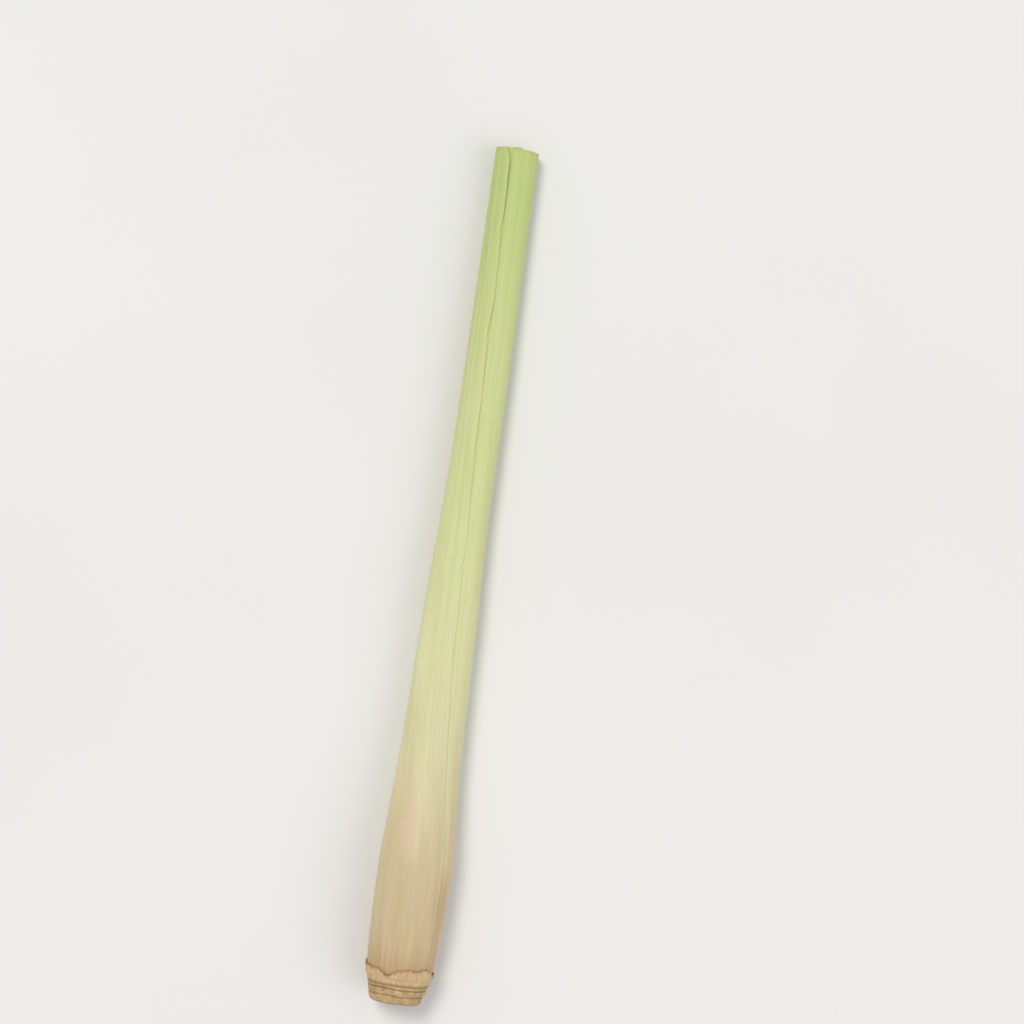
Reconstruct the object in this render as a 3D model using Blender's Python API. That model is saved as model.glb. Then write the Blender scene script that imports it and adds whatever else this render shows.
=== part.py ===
"""Lemongrass stalk, cut and trimmed, lying on its side.

The stalk is a false stem: leaf sheaths rolled one around the other, each rooted on
its own step of a short woody crown. Every sheath wraps the whole way round and laps
over itself, and its free margin runs up the stalk. Neighbouring leaves face opposite
ways, so their margins and their direction of roll alternate.

Frame: metres, +Z up. +Y runs from the root end to the trimmed top, +X is to the
right when the stalk is seen from above with its top away from the viewer, and the
origin is on the table, under the middle of the stalk.
"""

import math

import bmesh
import bpy

MM = 0.001

# ---------------------------------------------------------------- driving dimensions, mm
LENGTH = 165.0  # root cut to top cut
CONTACT = 0.18  # how far the soft underside is pressed flat on the table
GAP = 0.08  # free space between two layers
COLUMNS = 28  # steps round the stalk
EDGE = 0.15  # thickness of a sheath at its free margins
THICK_BASE = 0.76  # thickness of a sheath on its back, near the root
THICK_TOP = 0.40  # the same at the top cut

# half the width of the stalk, seen from above, along its length
HALF_WIDTH = [
    (0.0, 4.90), (1.5, 5.35), (3.0, 5.72), (5.0, 6.15), (8.0, 6.58), (12.0, 6.88),
    (18.0, 7.12), (26.0, 7.21), (35.0, 6.70), (45.0, 6.10), (55.0, 5.74),
    (65.0, 5.50), (75.0, 5.26), (85.0, 4.94), (95.0, 4.60), (105.0, 4.47),
    (115.0, 4.40), (130.0, 4.32), (145.0, 4.22), (165.0, 4.15),
]  # fmt: skip
# its height as a share of its width: nearly round at the root, flatter higher up
HEIGHT_SHARE = [(0.0, 0.96), (20.0, 0.95), (60.0, 0.92), (110.0, 0.89), (165.0, 0.88)]
# the lateral wander of its middle line
SIDE_BOW = [(0.0, -0.24), (25.0, 0.03), (45.0, -0.16), (80.0, -0.37), (110.0, -0.11), (165.0, -0.30)]
# how far its underside stands off the table between the two places where it rests
LIFT = [(14.0, 0.0), (52.0, 0.0), (80.0, 0.42), (108.0, 0.50), (136.0, 0.24),
        (152.0, 0.0), (166.0, 0.0)]  # fmt: skip
# where the outer margin runs, degrees from +X towards +Z, as the stalk twists
MARGIN_DEG = [(0.0, 34.0), (20.0, 38.0), (58.0, 60.0), (116.0, 88.0), (166.0, 104.0)]

STATIONS = [8.5, 12.5, 18.0, 28.0, 44.0, 60.0, 77.0, 96.0, 118.0, 139.0, 152.0,
            165.0]  # fmt: skip

# Each sheath from the outside in: name, start above the root cut, end beyond the
# straight cut, column of its free margin, columns of overlap, and the share of the
# normal thickness.
SHEATHS = [
    ("outer_sheath", 5.4, 0.00, 0, 5, 1.00),
    ("second_sheath", 7.0, 0.10, 15, 5, 1.00),
    ("third_sheath", 9.2, 0.00, 1, 4, 1.02),
    ("fourth_sheath", 11.8, 0.15, 14, 4, 1.00),
    ("fifth_sheath", 14.8, 0.05, 27, 4, 0.96),
    ("sixth_sheath", 18.2, 0.22, 13, 4, 0.86),
]
THICKENS = 8.0  # columns over which a sheath thickens from its margin to its back
COVERS = 5.0  # columns over which it comes out from under its own free margin
CROWN_TIP = 24.0  # height of the crown's blunt growing point inside the sheaths
HEART_START, HEART_END = 24.8, 165.6
HEART_TURNS = 3
HEART_COLUMNS = 10  # steps a turn

# the torn foot of an older sheath that was stripped off, round the crown
FOOT_BOTTOM, FOOT_TOP, FOOT_TEAR = 3.5, 6.9, 0.9
FOOT_THICK = 0.40


# ---------------------------------------------------------------- curves along the stalk
def along(table, s):
    """A smooth curve through a table's points: cubic, with no overshoot."""
    n = len(table)
    if s <= table[0][0]:
        return table[0][1]
    if s >= table[-1][0]:
        return table[-1][1]
    slopes = [
        (table[i + 1][1] - table[i][1]) / (table[i + 1][0] - table[i][0])
        for i in range(n - 1)
    ]
    i = next(k for k in range(n - 1) if table[k][0] <= s <= table[k + 1][0])

    def tangent(k):
        if k == 0:
            return slopes[0]
        if k == n - 1:
            return slopes[-1]
        a, b = slopes[k - 1], slopes[k]
        return 0.0 if a * b <= 0 else 2 * a * b / (a + b)

    h = table[i + 1][0] - table[i][0]
    u = (s - table[i][0]) / h
    return (
        table[i][1] * (2 * u**3 - 3 * u**2 + 1)
        + tangent(i) * h * (u**3 - 2 * u**2 + u)
        + table[i + 1][1] * (3 * u**2 - 2 * u**3)
        + tangent(i + 1) * h * (u**3 - u**2)
    )


def smooth(u):
    u = min(1.0, max(0.0, u))
    return u * u * (3 - 2 * u)


def half_width(s):
    return along(HALF_WIDTH, s)


def half_height(s):
    return half_width(s) * along(HEIGHT_SHARE, s)


def middle(s):
    """(x, z) of the stalk's middle line. Below 14 mm it runs level, so the root end
    tapers clear of the table; above that the underside follows the table."""
    t = max(s, 14.0)
    return along(SIDE_BOW, s), half_height(t) + along(LIFT, t) - CONTACT


def angle(column, s):
    """Direction of a column: column 0 follows the outer sheath's free margin."""
    return math.radians(along(MARGIN_DEG, s)) + 2 * math.pi * column / COLUMNS


def oval(a, s):
    w, h = half_width(s), half_height(s)
    return w * h / math.hypot(h * math.cos(a), w * math.sin(a))


def point(column, s, r, out=0.0):
    """The point at radius r from the middle line, in metres. The underside is
    pressed flat where it would reach below the table."""
    a = angle(column, s)
    x, z = middle(s)
    return (
        (x + r * math.cos(a)) * MM,
        (s + out - LENGTH / 2) * MM,
        max(0.0, z + r * math.sin(a)) * MM,
    )


# ---------------------------------------------------------------- the nested layers
def sheath_rows(k, s, outside):
    """Radii of sheath k at height s, for each step from its hidden margin to its free
    margin: [(column, outer radius, inner radius)], and the outside of what lies in it."""
    _, _, _, free, lap, share = SHEATHS[k]
    turn = -1 if k % 2 == 0 else 1  # neighbouring leaves roll opposite ways
    steps = COLUMNS + lap
    back = THICK_BASE + (THICK_TOP - THICK_BASE) * smooth((s - 14.0) / 120.0)
    back *= share

    def thick(j):
        return EDGE + (back - EDGE) * smooth(min(j, steps - j) / THICKENS)

    rows, inside = [], [1e9] * COLUMNS
    for j in range(steps + 1):
        column = (free - turn * (steps - j)) % COLUMNS
        if j <= lap:
            drop = thick(j + COLUMNS) + GAP
        else:
            drop = (EDGE + GAP) * (1 - smooth((j - lap) / COVERS))
        r = outside[column] - drop
        # towards the top the free margin of the outermost leaf stands a little proud
        if k == 0 and j > COLUMNS - 1:
            r += 0.55 * smooth((s - 138.0) / 27.0) * smooth((j - COLUMNS + 1) / 7.0)
        rows.append((column, r, r - thick(j)))
        inside[column] = min(inside[column], outside[column] - drop - thick(j))
    low = [
        min(inside[c - 1], inside[c], inside[(c + 1) % COLUMNS])
        for c in range(COLUMNS)
    ]
    low = [
        0.25 * low[c - 1] + 0.5 * low[c] + 0.25 * low[(c + 1) % COLUMNS] - GAP
        for c in range(COLUMNS)
    ]
    return rows, low


def outsides(s, layers):
    """The outside of the stalk at height s, with this many sheaths peeled off."""
    found = [oval(angle(c, s), s) for c in range(COLUMNS)]
    for k in range(layers):
        found = sheath_rows(k, s, found)[1]
    return found


def sheath_section(k, s):
    return sheath_rows(k, s, outsides(s, k))[0]


# ---------------------------------------------------------------- bodies
def material(name, colour, roughness):
    made = bpy.data.materials.new(name)
    made.use_nodes = True
    shader = made.node_tree.nodes["Principled BSDF"]
    shader.inputs["Base Color"].default_value = (*colour, 1.0)
    shader.inputs["Roughness"].default_value = roughness
    shader.inputs["Metallic"].default_value = 0.0
    return made


def loft(name, loops, caps, skin, parent):
    """One closed body through loops of points that match one to one. Both ends are
    closed by caps, which lists the corner numbers of each end face. With no caps the
    last loop joins the first, which makes a ring."""
    bm = bmesh.new()
    rings = [[bm.verts.new(p) for p in loop] for loop in loops]
    n = len(rings[0])
    pairs = zip(rings, rings[1:] if caps else rings[1:] + rings[:1])
    for low, high in pairs:
        for i in range(n):
            j = (i + 1) % n
            bm.faces.new((low[i], low[j], high[j]))
            bm.faces.new((low[i], high[j], high[i]))
    for ring in (rings[0], rings[-1]) if caps else ():
        for corners in caps:
            bm.faces.new([ring[i] for i in corners])
    bmesh.ops.recalc_face_normals(bm, faces=bm.faces)
    mesh = bpy.data.meshes.new(name)
    bm.to_mesh(mesh)
    bm.free()
    mesh.materials.append(skin)
    mesh.shade_smooth()
    mesh.set_sharp_from_angle(angle=math.radians(40))
    made = bpy.data.objects.new(name, mesh)
    bpy.context.scene.collection.objects.link(made)
    made.parent = parent
    return made


def band_caps(steps):
    """End faces of a band whose loop runs out along one side and back on the other."""
    last = 2 * steps + 1
    return [(j, j + 1, last - j - 1, last - j) for j in range(steps)]


def sheath(k, skin, parent):
    name, start, over, _, lap, _ = SHEATHS[k]
    heights = [start] + [s for s in STATIONS if s > start + 2.0]
    loops = []
    for s in heights:
        rows = sheath_section(k, s)
        end = over if s == heights[-1] else 0.0
        loops.append(
            [point(c, s, r, end) for c, r, _ in rows]
            + [point(c, s, r, end) for c, _, r in reversed(rows)]
        )
    return loft(name, loops, band_caps(COLUMNS + lap), skin, parent)


def crown(skin, parent):
    """The woody root end: trimmed across below, ringed by two old leaf scars, then a
    cone that steps in by one sheath at each leaf's own ring, up to a blunt tip."""
    starts = [entry[1] for entry in SHEATHS]
    loops = []

    def ring(s, radii):
        loops.append([point(c, s, r) for c, r in enumerate(radii)])

    def bare(s, less):
        ring(s, [r - less for r in outsides(s, 0)])

    for s, less in [(0.0, 0.30), (0.3, 0.0), (1.3, 0.0), (1.5, 0.16), (1.75, 0.02),
                    (2.6, 0.04), (2.85, 0.20), (3.1, 0.04), (3.4, 0.0)]:  # fmt: skip
        bare(s, less)
    seat = FOOT_THICK + GAP
    bare(FOOT_BOTTOM - 0.04, seat)
    bare(starts[0] - 0.1, seat)
    for k, start in enumerate(starts):
        end = starts[k + 1] if k + 1 < len(starts) else CROWN_TIP - 1.2
        for s in (start - 0.05, end - 0.1):
            ring(s, [r - 0.02 for r in outsides(s, k + 1)])
    tip = outsides(CROWN_TIP, len(starts))
    ring(CROWN_TIP - 0.4, [r * 0.80 for r in tip])
    ring(CROWN_TIP, [r * 0.42 for r in tip])
    return loft("root_crown", loops, [range(COLUMNS)], skin, parent)


def foot(skin, parent):
    """The torn foot of an older sheath: it sits on its own ring of the crown, and its
    ragged rim lies close round the foot of the outer sheath."""
    ledge = SHEATHS[0][1]
    loops = []
    for c in range(COLUMNS):
        a = 2 * math.pi * c / COLUMNS
        tear = 0.6 * math.sin(3 * a + 0.6) + 0.4 * math.sin(7 * a + 1.9)
        top = FOOT_TOP + FOOT_TEAR * tear
        outer, inner = [], []
        # height, outer and inner surface measured from the stalk's own outline
        for s, out, back in [
            (FOOT_BOTTOM, 0.0, -FOOT_THICK),
            (ledge - 0.55, 0.10, -FOOT_THICK + 0.02),
            (ledge - 0.12, 0.34, GAP + 0.02),
            (top, 0.30, GAP + 0.04),
        ]:
            base = oval(angle(c, s), s)
            outer.append(point(c, s, base + out))
            inner.append(point(c, s, base + back))
        loops.append(outer + inner[::-1])
    return loft("stripped_sheath_foot", loops, None, skin, parent)


def heart(skin, parent):
    """The youngest leaf, rolled up on itself in the middle."""
    heights = [HEART_START] + [s for s in STATIONS if s > HEART_START + 2.0]
    steps = HEART_TURNS * HEART_COLUMNS
    loops = []
    for s in heights:
        room = outsides(s, len(SHEATHS))
        end = HEART_END - LENGTH if s == heights[-1] else 0.0

        def spiral(j, inward):
            c = (COLUMNS * j / HEART_COLUMNS) % COLUMNS
            low = int(c) % COLUMNS
            here = min(room[low], room[(low + 1) % COLUMNS]) - 0.03
            core = 0.10 * here
            pitch = (here - core) / HEART_TURNS
            r = here - pitch * j / HEART_COLUMNS
            if inward:
                taper = smooth(min(j, steps - j) / 3.0)
                r -= (pitch - GAP) * (0.45 + 0.55 * taper)
            return point(c, s, max(r, 0.02), end)

        loops.append(
            [spiral(j, False) for j in range(steps + 1)]
            + [spiral(j, True) for j in range(steps, -1, -1)]
        )
    return loft("heart_leaf", loops, band_caps(steps), skin, parent)


def main():
    for old in list(bpy.data.objects):
        bpy.data.objects.remove(old, do_unlink=True)

    stalk = bpy.data.objects.new("lemongrass_stalk", None)
    bpy.context.scene.collection.objects.link(stalk)

    outer = material("outer_leaf", (0.67, 0.66, 0.36), 0.42)
    inner = material("inner_leaf", (0.72, 0.76, 0.40), 0.45)
    wood = material("crown_wood", (0.62, 0.50, 0.30), 0.65)
    dry = material("dry_leaf", (0.52, 0.38, 0.20), 0.70)

    crown(wood, stalk)
    foot(dry, stalk)
    for k in range(len(SHEATHS)):
        sheath(k, outer if k < 2 else inner, stalk)
    heart(inner, stalk)


main()
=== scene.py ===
"""Looks of the lemongrass stalk: every leaf sheath with its veins and margins, the
woody crown with its scars, and the cut ends, in a plain pale studio.

Lengths are in millimetres up to the point where a mesh is made, and in metres after.
s is the height along the stalk above the root cut, and a turn is once round it.
"""

import math

import bpy
import numpy as np
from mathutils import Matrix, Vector


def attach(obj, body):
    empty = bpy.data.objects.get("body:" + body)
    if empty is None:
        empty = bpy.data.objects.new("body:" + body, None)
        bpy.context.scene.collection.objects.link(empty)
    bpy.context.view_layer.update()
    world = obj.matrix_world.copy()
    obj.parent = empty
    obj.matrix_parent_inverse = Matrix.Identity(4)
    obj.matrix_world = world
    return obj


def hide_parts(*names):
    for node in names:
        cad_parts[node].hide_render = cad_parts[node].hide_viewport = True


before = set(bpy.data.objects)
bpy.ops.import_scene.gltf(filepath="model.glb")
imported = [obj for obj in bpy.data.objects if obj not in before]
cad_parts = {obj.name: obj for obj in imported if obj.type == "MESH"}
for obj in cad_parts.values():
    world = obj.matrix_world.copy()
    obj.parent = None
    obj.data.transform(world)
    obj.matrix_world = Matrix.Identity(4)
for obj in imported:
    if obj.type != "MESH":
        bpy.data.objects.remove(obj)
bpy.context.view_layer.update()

MM = 0.001

# ------------------------------------------------------------- the CAD part's dimensions
LENGTH = 165.0
CONTACT = 0.18
GAP = 0.08
EDGE = 0.15
THICK_BASE = 0.76
THICK_TOP = 0.40
HALF_WIDTH = [
    (0.0, 4.90), (1.5, 5.35), (3.0, 5.72), (5.0, 6.15), (8.0, 6.58), (12.0, 6.88),
    (18.0, 7.12), (26.0, 7.21), (35.0, 6.70), (45.0, 6.10), (55.0, 5.74),
    (65.0, 5.50), (75.0, 5.26), (85.0, 4.94), (95.0, 4.60), (105.0, 4.47),
    (115.0, 4.40), (130.0, 4.32), (145.0, 4.22), (165.0, 4.15),
]  # fmt: skip
HEIGHT_SHARE = [(0.0, 0.96), (20.0, 0.95), (60.0, 0.92), (110.0, 0.89), (165.0, 0.88)]
SIDE_BOW = [(0.0, -0.24), (25.0, 0.03), (45.0, -0.16), (80.0, -0.37), (110.0, -0.11), (165.0, -0.30)]
LIFT = [(14.0, 0.0), (52.0, 0.0), (80.0, 0.42), (108.0, 0.50), (136.0, 0.24),
        (152.0, 0.0), (166.0, 0.0)]  # fmt: skip
MARGIN_DEG = [(0.0, 34.0), (20.0, 38.0), (58.0, 60.0), (116.0, 88.0), (166.0, 104.0)]
STEPS = 28  # the CAD part's steps a turn, the unit of the next figures
# name, start, end beyond the straight cut, free margin, overlap, share of thickness
SHEATHS = [
    ("outer_sheath", 5.4, 0.00, 0, 5, 1.00),
    ("second_sheath", 7.0, 0.10, 15, 5, 1.00),
    ("third_sheath", 9.2, 0.00, 1, 4, 1.02),
    ("fourth_sheath", 11.8, 0.15, 14, 4, 1.00),
    ("fifth_sheath", 14.8, 0.05, 27, 4, 0.96),
    ("sixth_sheath", 18.2, 0.22, 13, 4, 0.86),
]
THICKENS, COVERS = 8.0, 5.0
CROWN_TIP = 24.0
HEART_START = 24.8
HEART_TURNS = 3
FOOT_BOTTOM, FOOT_TOP, FOOT_TEAR, FOOT_THICK = 3.5, 6.9, 0.9, 0.40

VEINS = 72  # veins of the outer sheath in one turn
# where the free margin is torn: height, reach up the stalk, depth in the CAD part's steps
TEARS = [(36.0, 5.0, 0.30), (84.0, 3.4, 0.26), (128.5, 6.5, 0.42), (149.0, 3.0, 0.30)]


# ------------------------------------------------------------------------------- curves
def along(table, s):
    """A smooth curve through a table's points: cubic, with no overshoot."""
    x = np.array([p[0] for p in table], float)
    y = np.array([p[1] for p in table], float)
    s = np.clip(np.asarray(s, float), x[0], x[-1])
    h = np.diff(x)
    slopes = np.diff(y) / h
    product = slopes[:-1] * slopes[1:]
    total = slopes[:-1] + slopes[1:]
    inner = np.where(product > 0, 2 * product / np.where(product > 0, total, 1.0), 0.0)
    tangents = np.concatenate([[slopes[0]], inner, [slopes[-1]]])
    i = np.clip(np.searchsorted(x, s, side="right") - 1, 0, len(x) - 2)
    u = (s - x[i]) / h[i]
    return (
        y[i] * (2 * u**3 - 3 * u**2 + 1)
        + tangents[i] * h[i] * (u**3 - 2 * u**2 + u)
        + y[i + 1] * (3 * u**2 - 2 * u**3)
        + tangents[i + 1] * h[i] * (u**3 - u**2)
    )


def smooth(u):
    u = np.clip(u, 0.0, 1.0)
    return u * u * (3 - 2 * u)


def field(turns, s, cells, pitch, seed):
    """Smooth noise from -1 to 1, with this many cells a turn and one each pitch mm."""
    table = np.random.default_rng(seed).uniform(-1, 1, (cells, int(190 / pitch) + 6))
    u = (np.asarray(turns, float) % 1.0) * cells
    v = (np.asarray(s, float) + 8.0) / pitch
    u, v = np.broadcast_arrays(u, v)
    i, j = np.floor(u).astype(int), np.floor(v).astype(int)
    a, b = smooth(u - i), smooth(v - j)
    i, k = i % cells, (i + 1) % cells
    j = np.clip(j, 0, table.shape[1] - 2)
    return (table[i, j] * (1 - a) + table[k, j] * a) * (1 - b) + (
        table[i, j + 1] * (1 - a) + table[k, j + 1] * a
    ) * b


def spots(*runs):
    """Heights from (first, last, spacing) runs, end to end."""
    found = []
    for first, last, spacing in runs:
        n = max(1, round((last - first) / spacing))
        found += [first + (last - first) * i / n for i in range(n)]
    return np.array(found + [runs[-1][1]])


# -------------------------------------------------------------------- shape of the stalk
def twist(s):
    """Direction of the outer sheath's free margin, in radians from +X towards +Z."""
    wander = 1.3 * np.sin(s / 8.7 + 0.5) + 0.9 * np.sin(s / 3.9 + 2.0)
    return np.radians(along(MARGIN_DEG, s) + wander * smooth((s - 8.0) / 10.0))


def outline(s, n):
    """The stalk's outside, as radii: a row for each height, with n columns a turn."""
    s = np.asarray(s, float)[:, None]
    turns = np.arange(n)[None, :] / n
    a = twist(s) + 2 * math.pi * turns
    w = along(HALF_WIDTH, s)
    h = w * along(HEIGHT_SHARE, s)
    r = w * h / np.hypot(h * np.cos(a), w * np.sin(a))
    # grown shapes are never true: long shallow flats and swellings
    r = r * (1 + 0.007 * field(turns, s, 7, 26.0, 11) + 0.0035 * field(turns, s, 13, 9.0, 12))
    # a blunt keel along the outer leaf's back
    keel = np.exp(-(((turns - 0.53) / 0.035) ** 2))
    return r + 0.07 * keel * smooth((s - 20.0) / 60.0)


def place(angle, s, r, out=0.0, press=True):
    """World points in millimetres; what would reach below the table is pressed flat."""
    t = np.maximum(s, 14.0)
    x = along(SIDE_BOW, s) + r * np.cos(angle)
    z = (
        along(HALF_WIDTH, t) * along(HEIGHT_SHARE, t)
        + along(LIFT, t)
        - CONTACT
        + r * np.sin(angle)
    )
    y = s + out - LENGTH / 2
    if press:
        z = np.maximum(z, 0.0)
    return np.stack(np.broadcast_arrays(x, y, z), axis=-1)


def eroded(r, reach):
    """What is sure to fit inside r: its lowest value nearby, smoothed."""
    low = r.copy()
    for shift in range(1, reach + 1):
        low = np.minimum(low, np.minimum(np.roll(r, shift, 1), np.roll(r, -shift, 1)))
    total, weights = np.zeros_like(low), 0.0
    for shift in range(-reach, reach + 1):
        weight = 1 - abs(shift) / (reach + 1)
        total += weight * np.roll(low, shift, 1)
        weights += weight
    return total / weights


def sheath_radii(k, s, outside):
    """Column, outer and inner radius of sheath k from its hidden to its free margin,
    and the outside of what lies in it."""
    _, _, _, free, lap, share = SHEATHS[k]
    n = outside.shape[1]
    per = n / STEPS
    free, lap = round(free * per), round(lap * per)
    turn = -1 if k % 2 == 0 else 1
    steps = n + lap
    back = THICK_BASE + (THICK_TOP - THICK_BASE) * smooth((s - 14.0) / 120.0)
    back = (back * share)[:, None]
    j = np.arange(steps + 1)

    def thick(at):
        rise = smooth(np.minimum(at, steps - at) / (THICKENS * per))
        # the last of a free margin is as thin as paper
        film = 1 - 0.5 * (1 - smooth((steps - at) / (0.55 * per)))
        return (EDGE + (back - EDGE) * rise[None, :]) * film[None, :]

    column = (free - turn * (steps - j)) % n
    here = outside[:, column]
    under = np.where(
        (j <= lap)[None, :],
        thick(np.minimum(j + n, steps)) + GAP,
        ((EDGE + GAP) * (1 - smooth((j - lap) / (COVERS * per))))[None, :],
    )
    outer = here - under
    inner = outer - thick(j)
    room = np.full_like(outside, 1e9)
    for half in (slice(0, n), slice(n, steps + 1)):
        cols = column[half]
        room[:, cols] = np.minimum(room[:, cols], inner[:, half])
    return column, outer, inner, eroded(room, max(2, round(0.55 * per))) - GAP


def outsides(s, n, layers):
    found = outline(s, n)
    for k in range(layers):
        found = sheath_radii(k, s, found)[3]
    return found


# ------------------------------------------------------------------------------- meshes
def make(name, points, faces, slots, materials, values, node):
    """An object of the row's root body from points in mm, faces by corner numbers, a
    material number for each face, and named values for each point."""
    mesh = bpy.data.meshes.new(name)
    mesh.from_pydata((np.asarray(points) * MM).tolist(), [], faces)
    for each in materials:
        mesh.materials.append(each)
    mesh.polygons.foreach_set("material_index", np.asarray(slots, dtype=np.int32))
    for key, value in values.items():
        made = mesh.attributes.new(key, "FLOAT", "POINT")
        made.data.foreach_set("value", np.asarray(value, dtype=np.float32).ravel())
    mesh.update()
    mesh.validate()
    mesh.shade_smooth()
    mesh.set_sharp_from_angle(angle=math.radians(52))
    ob = bpy.data.objects.new(name, mesh)
    bpy.context.scene.collection.objects.link(ob)
    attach(ob, "root")
    if node:
        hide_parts(node)
    return ob


def band(name, outer, inner, skip, caps, materials, values, node, other_way):
    """A closed band: outer and inner are (rows, columns, 3) grids of points, and the
    inner one has every skip-th column. caps are the two ends' grids between them,
    (levels, columns, 3), from the outer to the inner edge, without those edges. A leaf
    that rolls the other way has its faces turned round, so that they all look out."""
    rows, cols = outer.shape[:2]
    few = inner.shape[1]
    points = [outer.reshape(-1, 3), inner.reshape(-1, 3)]
    base = rows * cols
    starts = []
    count = base + rows * few
    for cap in caps:
        starts.append(count)
        points.append(cap.reshape(-1, 3))
        count += cap.shape[0] * cols
    faces, slots = [], []

    def grid(r, c, width, first, flip, slot_number):
        a = first + np.arange(r - 1)[:, None] * width + np.arange(c - 1)[None, :]
        quad = np.stack([a, a + 1, a + width + 1, a + width], -1).reshape(-1, 4)
        if flip:
            quad = quad[:, ::-1]
        faces.extend(quad.tolist())
        slots.extend([slot_number] * len(quad))

    grid(rows, cols, cols, 0, False, 0)
    grid(rows, few, few, base, True, 1)
    for i in range(rows - 1):  # the two margins
        a, b = i * cols, base + i * few
        faces.append([a, a + cols, b + few, b])
        a, b = i * cols + cols - 1, base + i * few + few - 1
        faces.append([a, b, b + few, a + cols])
        slots += [0, 0]
    for end, (first, cap) in enumerate(zip(starts, caps)):
        row = 0 if end == 0 else rows - 1
        flip = end == 0
        levels = [row * cols + np.arange(cols)]
        levels += [first + level * cols + np.arange(cols) for level in range(len(cap))]
        for high, low in zip(levels, levels[1:]):
            quad = np.stack([high[:-1], high[1:], low[1:], low[:-1]], -1)
            if flip:
                quad = quad[:, ::-1]
            faces.extend(quad.tolist())
            slots.extend([2] * len(quad))
        last = levels[-1]
        for m in range(few - 1):
            inside = base + row * few + m
            corner = [int(c) for c in last[m * skip : (m + 1) * skip + 1]]
            corner += [inside + 1, inside]
            faces.append(corner[::-1] if flip else corner)
            slots.append(2)
        # the sides of the cap at the two margins
        for edge, column, inner_at in ((0, 0, 0), (1, cols - 1, few - 1)):
            ring = [int(level[column]) for level in levels] + [base + row * few + inner_at]
            if len(ring) > 2:
                faces.append(ring if (edge == 0) != flip else ring[::-1])
                slots.append(2)
    if other_way:
        faces = [face[::-1] for face in faces]
    return make(name, np.concatenate(points), faces, slots, materials, values, node)


def end_cap(outer_row, inner_row, skip, levels, rise):
    """Points between the outer and the inner edge of a cut face; rise(share, columns)
    lifts them along the stalk, in millimetres."""
    cols = outer_row.shape[0]
    at = np.arange(cols) / skip
    few = inner_row.shape[0]
    inner = np.stack([np.interp(at, np.arange(few), inner_row[:, i]) for i in range(3)], -1)
    made = []
    for share in levels:
        p = outer_row * (1 - share) + inner * share
        p[:, 1] += rise(share, np.arange(cols))
        made.append(p)
    return np.array(made)


# ---------------------------------------------------------------------------- materials
def srgb(r, g, b):
    """A colour from its 0 to 255 values."""
    return tuple(
        (c / 255 / 12.92 if c / 255 <= 0.04045 else ((c / 255 + 0.055) / 1.055) ** 2.4)
        for c in (r, g, b)
    ) + (1.0,)


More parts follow.
